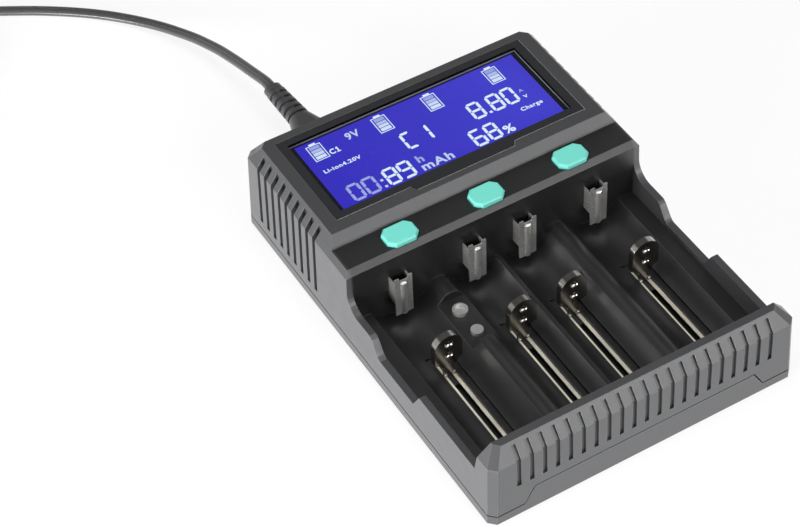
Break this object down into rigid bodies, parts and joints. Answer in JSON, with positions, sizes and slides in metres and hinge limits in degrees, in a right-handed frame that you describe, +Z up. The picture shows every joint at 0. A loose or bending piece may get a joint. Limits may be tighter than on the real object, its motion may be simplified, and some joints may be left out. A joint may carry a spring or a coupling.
{
  "type": "aa battery charger",
  "caption": "Mains charger with open bays for round cells, sprung sliding contacts, a sloped display head with octagonal keys, side vents and a flat two-core lead.",
  "frame": {"origin": "under the middle of the housing, on the plane of its rubber feet", "axes": "+X to the right, +Y to the back, +Z up, seen from the front with the bays nearest"},
  "size_m": [0.2869, 0.4026, 0.0457],
  "materials": {
    "housing": "fine moulded grain, satin",
    "window": "clear, with a black printed border",
    "holder": "moulded, satin",
    "display": "lit liquid-crystal panel",
    "light_plate": "polished acrylic",
    "board": "solder mask",
    "key": "soft satin",
    "switch": "moulded",
    "screw": "zinc plated",
    "core": "sintered ferrite",
    "bobbin": "taped winding",
    "capacitor": "printed sleeve",
    "sink": "extruded",
    "link": "ribbon insulation",
    "inlet": "moulded",
    "contact": "nickel plated",
    "tongue": "dark nickel, polished",
    "shoe": "low-friction moulding",
    "spring": "drawn wire",
    "rail": "nickel plated strip",
    "foot": "matt",
    "lead": "satin sheath",
    "lead_mould": "satin moulding",
    "tie": "woven strap"
  },
  "bodies": {
    "charger": {"upper_housing": "housing", "lower_housing": "housing", "display_window": "window", "lcd_frame": "holder", "lcd_panel": "display", "lcd_backlight": "light_plate", "display_board": "board", "key_switches": "switch", "board_screws": "screw", "power_board": "board", "power_board_screws": "screw", "transformer_core": "core", "transformer_bobbin": "bobbin", "bulk_capacitor": "capacitor", "output_capacitors": "capacitor", "heat_sink": "sink", "board_link": "link", "mains_inlet": "inlet", "inlet_pins": "contact", "positive_contact_1": "contact", "positive_contact_2": "contact", "positive_contact_3": "contact", "positive_contact_4": "contact", "return_spring_1": "spring", "return_spring_2": "spring", "return_spring_3": "spring", "return_spring_4": "spring", "contact_rails_1": "rail", "contact_rails_2": "rail", "contact_rails_3": "rail", "contact_rails_4": "rail", "block_contacts": "contact", "rubber_feet": "foot", "housing_screws": "screw", "cord_connector": "lead_mould", "cord_lead": "lead", "cord_coil": "lead", "cord_tail": "lead", "cord_tie": "tie", "plug_body": "lead_mould", "plug_pins": "contact"},
    "slide_1": {"slider_contact_1": "tongue", "slider_shoe_1": "shoe"},
    "slide_2": {"slider_contact_2": "tongue", "slider_shoe_2": "shoe"},
    "slide_3": {"slider_contact_3": "tongue", "slider_shoe_3": "shoe"},
    "slide_4": {"slider_contact_4": "tongue", "slider_shoe_4": "shoe"},
    "key_left_body": {"key_left": "key"},
    "key_middle_body": {"key_middle": "key"},
    "key_right_body": {"key_right": "key"}
  },
  "joints": [
    {"name": "bay_1_slide", "type": "slide", "parent": "charger", "child": "slide_1", "axis": [0, -1, 0], "range_m": [0, 0.045], "stiffness_N_per_m": 60, "springref_m": -0.03, "deforming": ["return_spring_1"]},
    {"name": "bay_2_slide", "type": "slide", "parent": "charger", "child": "slide_2", "axis": [0, -1, 0], "range_m": [0, 0.045], "stiffness_N_per_m": 60, "springref_m": -0.03, "deforming": ["return_spring_2"]},
    {"name": "bay_3_slide", "type": "slide", "parent": "charger", "child": "slide_3", "axis": [0, -1, 0], "range_m": [0, 0.045], "stiffness_N_per_m": 60, "springref_m": -0.03, "deforming": ["return_spring_3"]},
    {"name": "bay_4_slide", "type": "slide", "parent": "charger", "child": "slide_4", "axis": [0, -1, 0], "range_m": [0, 0.045], "stiffness_N_per_m": 60, "springref_m": -0.03, "deforming": ["return_spring_4"]},
    {"name": "key_left_press", "type": "slide", "parent": "charger", "child": "key_left_body", "axis": [0, 0, -1], "range_m": [0, 0.0009], "stiffness_N_per_m": 400, "springref_m": -0.0012},
    {"name": "key_middle_press", "type": "slide", "parent": "charger", "child": "key_middle_body", "axis": [0, 0, -1], "range_m": [0, 0.0009], "stiffness_N_per_m": 400, "springref_m": -0.0012},
    {"name": "key_right_press", "type": "slide", "parent": "charger", "child": "key_right_body", "axis": [0, 0, -1], "range_m": [0, 0.0009], "stiffness_N_per_m": 400, "springref_m": -0.0012}
  ]
}
